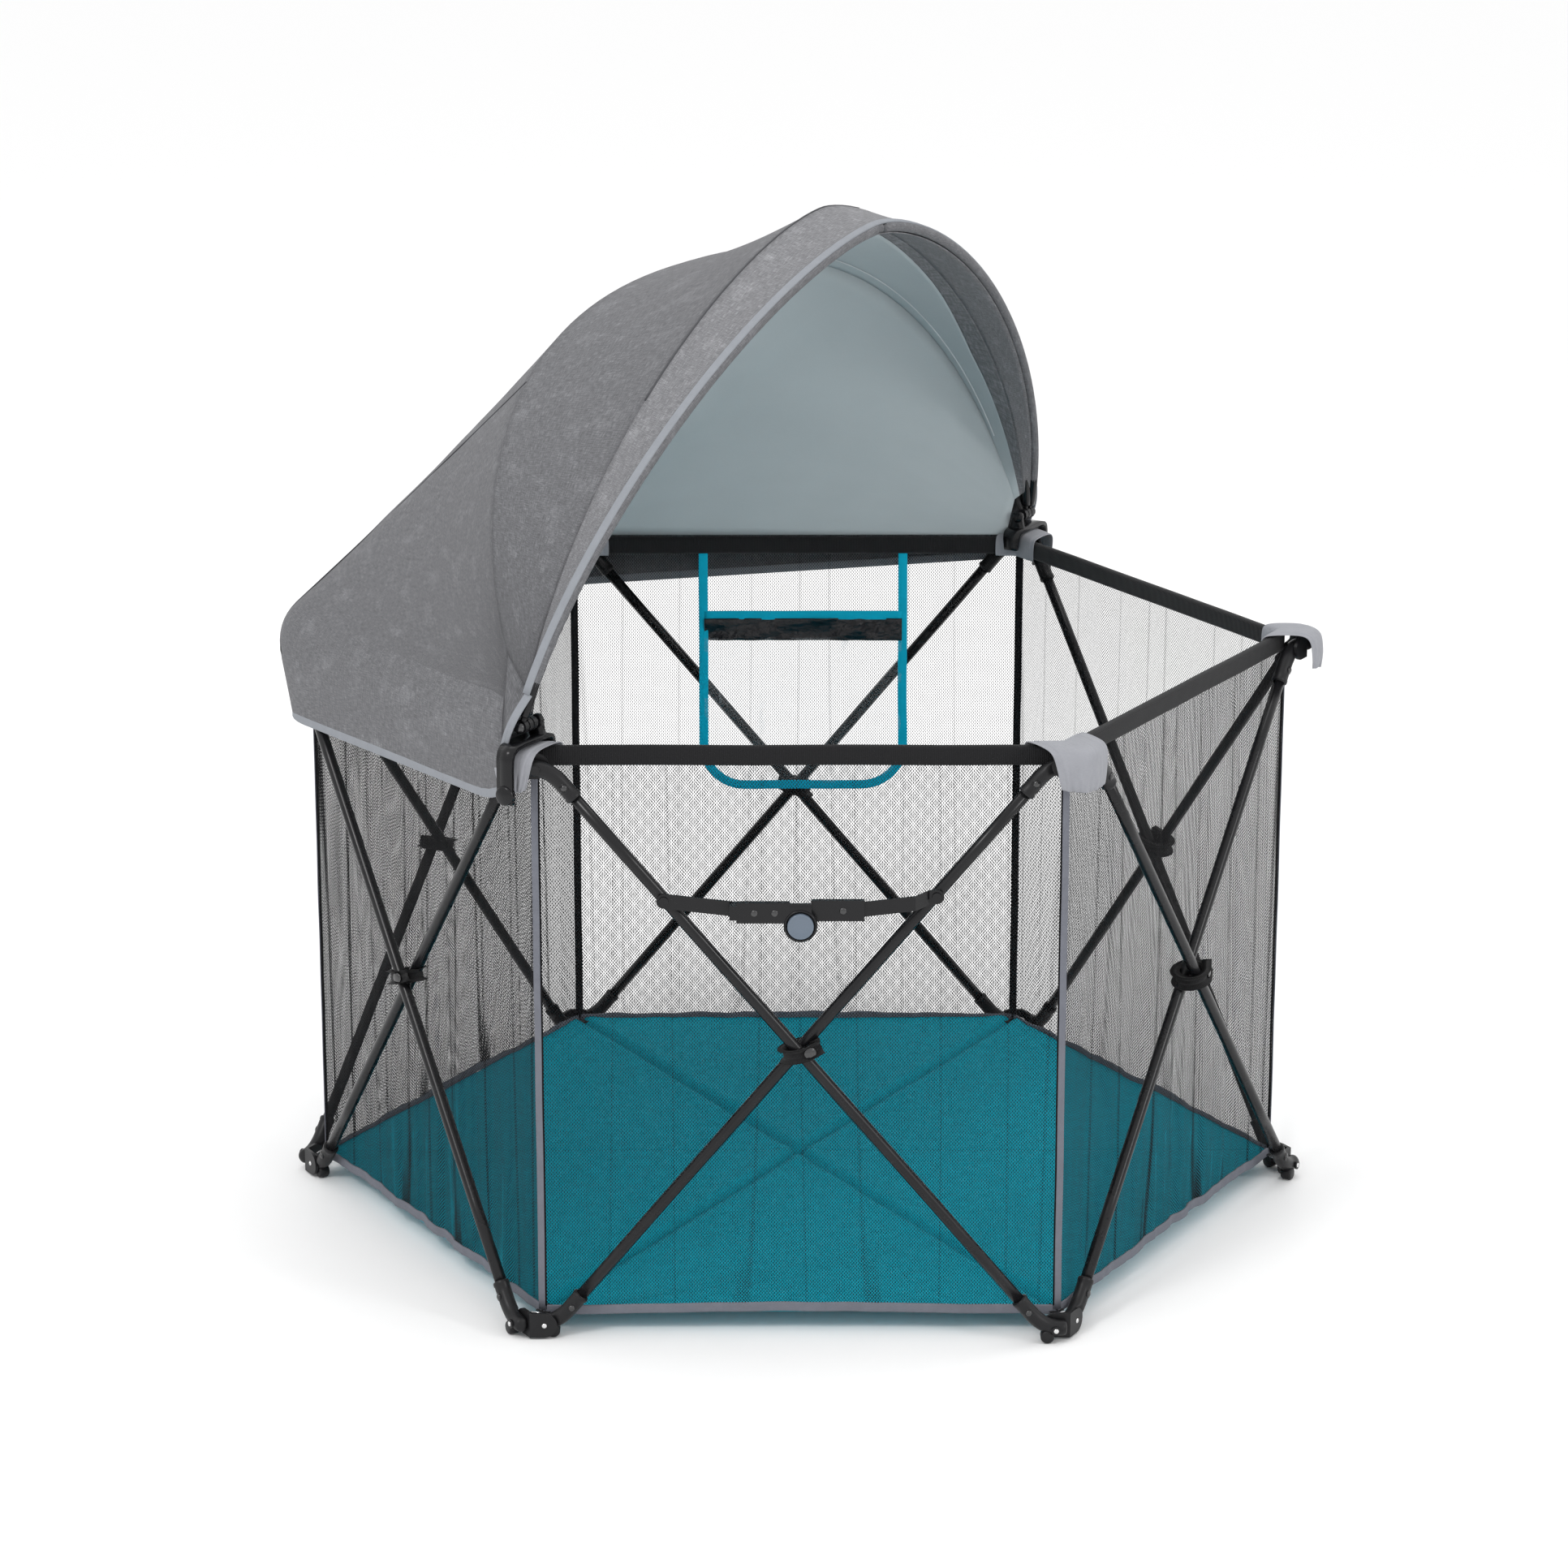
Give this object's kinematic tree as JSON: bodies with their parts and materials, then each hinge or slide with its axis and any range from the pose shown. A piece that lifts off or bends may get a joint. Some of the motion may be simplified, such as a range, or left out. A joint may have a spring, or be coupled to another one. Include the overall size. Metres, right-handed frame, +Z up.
{
  "type": "travel play yard",
  "caption": "Folding hexagonal play yard of crossed tubes with mesh walls, padded floor mat, corner clamps and a clip-on half canopy on fold-back bows.",
  "frame": {"origin": "on the floor, under the middle of the hexagonal yard", "axes": "+X to the right seen from the front, +Y from the front panel to the rear panel, +Z up"},
  "size_m": [1.3057, 1.1588, 1.2392],
  "materials": {
    "steel_tube": "dark grey powder coat, slightly glossy",
    "black_plastic": "fine moulded satin",
    "mesh": "knitted black mesh with a woven binding at the rail",
    "cover_cloth": "pale blue-grey woven polyester",
    "mat_cloth": "teal plain-woven polyester",
    "pocket_vinyl": "clear vinyl with teal binding tape",
    "canopy_cloth": "heathered grey woven polyester",
    "button_plastic": "satin grey-blue"
  },
  "bodies": {
    "front_left_lower_corner": {"front_left_bottom_hub": "black_plastic"},
    "front_inner_arm": {"front_inner_tube": "steel_tube", "front_inner_foot": "black_plastic"},
    "front_outer_arm": {"front_outer_tube": "steel_tube", "front_outer_foot": "black_plastic"},
    "right_front_inner_arm": {"right_front_inner_tube": "steel_tube", "right_front_inner_foot": "black_plastic"},
    "right_front_outer_arm": {"right_front_outer_tube": "steel_tube", "right_front_outer_foot": "black_plastic"},
    "right_rear_inner_arm": {"right_rear_inner_tube": "steel_tube", "right_rear_inner_foot": "black_plastic"},
    "right_rear_outer_arm": {"right_rear_outer_tube": "steel_tube", "right_rear_outer_foot": "black_plastic"},
    "rear_inner_arm": {"rear_inner_tube": "steel_tube", "rear_inner_foot": "black_plastic"},
    "rear_outer_arm": {"rear_outer_tube": "steel_tube", "rear_outer_foot": "black_plastic"},
    "left_rear_inner_arm": {"left_rear_inner_tube": "steel_tube", "left_rear_inner_foot": "black_plastic"},
    "left_rear_outer_arm": {"left_rear_outer_tube": "steel_tube", "left_rear_outer_foot": "black_plastic"},
    "left_front_inner_arm": {"left_front_inner_tube": "steel_tube", "left_front_inner_foot": "black_plastic"},
    "left_front_outer_arm": {"left_front_outer_tube": "steel_tube", "left_front_outer_foot": "black_plastic"},
    "front_left_upper_corner": {"front_left_top_hub": "black_plastic", "front_left_corner_cover": "cover_cloth", "front_wall": "mesh", "canopy_front_clamp": "black_plastic", "canopy_cover": "canopy_cloth"},
    "front_right_lower_corner": {"front_right_bottom_hub": "black_plastic"},
    "front_right_upper_corner": {"front_right_top_hub": "black_plastic", "front_right_corner_cover": "cover_cloth", "right_front_wall": "mesh"},
    "right_lower_corner": {"right_bottom_hub": "black_plastic"},
    "right_upper_corner": {"right_top_hub": "black_plastic", "right_corner_cover": "cover_cloth", "right_rear_wall": "mesh"},
    "rear_right_lower_corner": {"rear_right_bottom_hub": "black_plastic"},
    "rear_right_upper_corner": {"rear_right_top_hub": "black_plastic", "rear_right_corner_cover": "cover_cloth", "rear_wall": "mesh", "rear_pocket": "pocket_vinyl", "canopy_rear_clamp": "black_plastic"},
    "rear_left_lower_corner": {"rear_left_bottom_hub": "black_plastic"},
    "rear_left_upper_corner": {"rear_left_top_hub": "black_plastic", "rear_left_corner_cover": "cover_cloth", "left_rear_wall": "mesh"},
    "left_lower_corner": {"left_bottom_hub": "black_plastic"},
    "left_upper_corner": {"left_top_hub": "black_plastic", "left_corner_cover": "cover_cloth", "left_front_wall": "mesh"},
    "lock_left": {"lock_left_link": "steel_tube"},
    "lock_right": {"lock_right_link": "steel_tube"},
    "lock_button": {"lock_button": "button_plastic"},
    "mat_front": {"floor_mat_front": "mat_cloth"},
    "mat_rear": {"floor_mat_rear": "mat_cloth"},
    "bow_front": {"canopy_front_bow": "steel_tube"},
    "bow_middle": {"canopy_middle_bow": "steel_tube"},
    "bow_rear": {"canopy_rear_bow": "steel_tube"}
  },
  "joints": [
    {"name": "frame_fold", "type": "hinge", "parent": "front_left_lower_corner", "child": "front_inner_arm", "pos_m": [-0.2965, -0.54127, 0.017], "axis": [0, -1, 0], "range_deg": [0, 32], "deforming": ["front_wall", "right_front_wall", "right_rear_wall", "rear_wall", "left_rear_wall", "left_front_wall", "floor_mat_front", "floor_mat_rear", "rear_pocket"]},
    {"name": "front_crossing_pivot", "type": "hinge", "parent": "front_inner_arm", "child": "front_outer_arm", "pos_m": [0, -0.54127, 0.3545], "axis": [0, -1, 0], "range_deg": [-64, 0]},
    {"name": "front_right_lower_corner_pivot", "type": "hinge", "parent": "front_outer_arm", "child": "front_right_lower_corner", "pos_m": [0.2965, -0.54127, 0.017], "axis": [0, -1, 0], "range_deg": [0, 32]},
    {"name": "front_right_upper_corner_pivot", "type": "hinge", "parent": "front_inner_arm", "child": "front_right_upper_corner", "pos_m": [0.2965, -0.54127, 0.692], "axis": [0, -1, 0], "range_deg": [-32, 0]},
    {"name": "front_left_upper_corner_pivot", "type": "hinge", "parent": "front_outer_arm", "child": "front_left_upper_corner", "pos_m": [-0.2965, -0.54127, 0.692], "axis": [0, -1, 0], "range_deg": [0, 32]},
    {"name": "right_front_inner_arm_low_pivot", "type": "hinge", "parent": "front_right_lower_corner", "child": "right_front_inner_arm", "pos_m": [0.3205, -0.52741, 0.017], "axis": [0.866, -0.5, 0], "range_deg": [0, 32]},
    {"name": "right_front_crossing_pivot", "type": "hinge", "parent": "right_front_inner_arm", "child": "right_front_outer_arm", "pos_m": [0.46875, -0.27063, 0.3545], "axis": [0.866, -0.5, 0], "range_deg": [-64, 0]},
    {"name": "right_lower_corner_pivot", "type": "hinge", "parent": "right_front_outer_arm", "child": "right_lower_corner", "pos_m": [0.617, -0.01386, 0.017], "axis": [0.866, -0.5, 0], "range_deg": [0, 32]},
    {"name": "right_upper_corner_pivot", "type": "hinge", "parent": "right_front_inner_arm", "child": "right_upper_corner", "pos_m": [0.617, -0.01386, 0.692], "axis": [0.866, -0.5, 0], "range_deg": [-32, 0]},
    {"name": "right_rear_inner_arm_low_pivot", "type": "hinge", "parent": "right_lower_corner", "child": "right_rear_inner_arm", "pos_m": [0.617, 0.01386, 0.017], "axis": [0.866, 0.5, 0], "range_deg": [0, 32]},
    {"name": "right_rear_crossing_pivot", "type": "hinge", "parent": "right_rear_inner_arm", "child": "right_rear_outer_arm", "pos_m": [0.46875, 0.27063, 0.3545], "axis": [0.866, 0.5, 0], "range_deg": [-64, 0]},
    {"name": "rear_right_lower_corner_pivot", "type": "hinge", "parent": "right_rear_outer_arm", "child": "rear_right_lower_corner", "pos_m": [0.3205, 0.52741, 0.017], "axis": [0.866, 0.5, 0], "range_deg": [0, 32]},
    {"name": "rear_right_upper_corner_pivot", "type": "hinge", "parent": "right_rear_inner_arm", "child": "rear_right_upper_corner", "pos_m": [0.3205, 0.52741, 0.692], "axis": [0.866, 0.5, 0], "range_deg": [-32, 0]},
    {"name": "left_front_outer_arm_low_pivot", "type": "hinge", "parent": "front_left_lower_corner", "child": "left_front_outer_arm", "pos_m": [-0.3205, -0.52741, 0.017], "axis": [-0.866, -0.5, 0], "range_deg": [-32, 0]},
    {"name": "left_front_crossing_pivot", "type": "hinge", "parent": "left_front_outer_arm", "child": "left_front_inner_arm", "pos_m": [-0.46875, -0.27063, 0.3545], "axis": [-0.866, -0.5, 0], "range_deg": [0, 64]},
    {"name": "left_lower_corner_pivot", "type": "hinge", "parent": "left_front_inner_arm", "child": "left_lower_corner", "pos_m": [-0.617, -0.01386, 0.017], "axis": [-0.866, -0.5, 0], "range_deg": [-32, 0]},
    {"name": "left_upper_corner_pivot", "type": "hinge", "parent": "left_front_outer_arm", "child": "left_upper_corner", "pos_m": [-0.617, -0.01386, 0.692], "axis": [-0.866, -0.5, 0], "range_deg": [0, 32]},
    {"name": "left_rear_outer_arm_low_pivot", "type": "hinge", "parent": "left_lower_corner", "child": "left_rear_outer_arm", "pos_m": [-0.617, 0.01386, 0.017], "axis": [-0.866, 0.5, 0], "range_deg": [-32, 0]},
    {"name": "left_rear_crossing_pivot", "type": "hinge", "parent": "left_rear_outer_arm", "child": "left_rear_inner_arm", "pos_m": [-0.46875, 0.27063, 0.3545], "axis": [-0.866, 0.5, 0], "range_deg": [0, 64]},
    {"name": "rear_left_lower_corner_pivot", "type": "hinge", "parent": "left_rear_inner_arm", "child": "rear_left_lower_corner", "pos_m": [-0.3205, 0.52741, 0.017], "axis": [-0.866, 0.5, 0], "range_deg": [-32, 0]},
    {"name": "rear_left_upper_corner_pivot", "type": "hinge", "parent": "left_rear_outer_arm", "child": "rear_left_upper_corner", "pos_m": [-0.3205, 0.52741, 0.692], "axis": [-0.866, 0.5, 0], "range_deg": [0, 32]},
    {"name": "rear_outer_arm_low_pivot", "type": "hinge", "parent": "rear_left_lower_corner", "child": "rear_outer_arm", "pos_m": [-0.2965, 0.54127, 0.017], "axis": [0, 1, 0], "range_deg": [-32, 0]},
    {"name": "rear_crossing_pivot", "type": "hinge", "parent": "rear_outer_arm", "child": "rear_inner_arm", "pos_m": [0, 0.54127, 0.3545], "axis": [0, 1, 0], "range_deg": [0, 64]},
    {"name": "lock_left_pivot", "type": "hinge", "parent": "front_outer_arm", "child": "lock_left", "pos_m": [-0.15405, -0.54127, 0.53854], "axis": [0, -1, 0], "range_deg": [-36.7, 0]},
    {"name": "lock_right_pivot", "type": "hinge", "parent": "front_inner_arm", "child": "lock_right", "pos_m": [0.15405, -0.54127, 0.53854], "axis": [0, -1, 0], "range_deg": [0, 36.7]},
    {"name": "mat_front_fold", "type": "hinge", "parent": "front_left_upper_corner", "child": "mat_front", "pos_m": [-0.3, -0.516, 0.026], "axis": [1, 0, 0], "range_deg": [0, 75.3]},
    {"name": "mat_rear_fold", "type": "hinge", "parent": "rear_left_upper_corner", "child": "mat_rear", "pos_m": [-0.3, 0.516, 0.026], "axis": [-1, 0, 0], "range_deg": [0, 75.3]},
    {"name": "lock_button_press", "type": "slide", "parent": "lock_left", "child": "lock_button", "axis": [0, 1, 0], "range_m": [0, 0.003], "stiffness_N_per_m": 400},
    {"name": "canopy_fold", "type": "hinge", "parent": "front_left_upper_corner", "child": "bow_rear", "pos_m": [0, 0, 0.737], "axis": [-0.5, -0.866, 0], "range_deg": [0, 61], "deforming": ["canopy_cover"]},
    {"name": "middle_bow_fold", "type": "hinge", "parent": "bow_rear", "child": "bow_middle", "pos_m": [0, 0, 0.737], "axis": [-0.5, -0.866, 0], "range_deg": [0, 12]},
    {"name": "front_bow_fold", "type": "hinge", "parent": "bow_middle", "child": "bow_front", "pos_m": [0, 0, 0.737], "axis": [-0.5, -0.866, 0], "range_deg": [0, 3]}
  ],
  "couplings": [
    {"joint": "front_crossing_pivot", "follows": "frame_fold", "ratio": -2},
    {"joint": "front_right_lower_corner_pivot", "follows": "frame_fold", "ratio": 1},
    {"joint": "front_right_upper_corner_pivot", "follows": "frame_fold", "ratio": -1},
    {"joint": "front_left_upper_corner_pivot", "follows": "frame_fold", "ratio": 1},
    {"joint": "right_front_inner_arm_low_pivot", "follows": "frame_fold", "ratio": 1},
    {"joint": "right_front_crossing_pivot", "follows": "frame_fold", "ratio": -2},
    {"joint": "right_lower_corner_pivot", "follows": "frame_fold", "ratio": 1},
    {"joint": "right_upper_corner_pivot", "follows": "frame_fold", "ratio": -1},
    {"joint": "right_rear_inner_arm_low_pivot", "follows": "frame_fold", "ratio": 1},
    {"joint": "right_rear_crossing_pivot", "follows": "frame_fold", "ratio": -2},
    {"joint": "rear_right_lower_corner_pivot", "follows": "frame_fold", "ratio": 1},
    {"joint": "rear_right_upper_corner_pivot", "follows": "frame_fold", "ratio": -1},
    {"joint": "left_front_outer_arm_low_pivot", "follows": "frame_fold", "ratio": -1},
    {"joint": "left_front_crossing_pivot", "follows": "frame_fold", "ratio": 2},
    {"joint": "left_lower_corner_pivot", "follows": "frame_fold", "ratio": -1},
    {"joint": "left_upper_corner_pivot", "follows": "frame_fold", "ratio": 1},
    {"joint": "left_rear_outer_arm_low_pivot", "follows": "frame_fold", "ratio": -1},
    {"joint": "left_rear_crossing_pivot", "follows": "frame_fold", "ratio": 2},
    {"joint": "rear_left_lower_corner_pivot", "follows": "frame_fold", "ratio": -1},
    {"joint": "rear_left_upper_corner_pivot", "follows": "frame_fold", "ratio": 1},
    {"joint": "rear_outer_arm_low_pivot", "follows": "frame_fold", "ratio": -1},
    {"joint": "rear_crossing_pivot", "follows": "frame_fold", "ratio": 2},
    {"joint": "lock_left_pivot", "follows": "frame_fold", "ratio": -1.147},
    {"joint": "lock_right_pivot", "follows": "frame_fold", "ratio": 1.147},
    {"joint": "mat_front_fold", "follows": "frame_fold", "ratio": 2.353},
    {"joint": "mat_rear_fold", "follows": "frame_fold", "ratio": 2.353},
    {"joint": "middle_bow_fold", "follows": "canopy_fold", "ratio": 0.19672},
    {"joint": "front_bow_fold", "follows": "canopy_fold", "ratio": 0.04918}
  ]
}
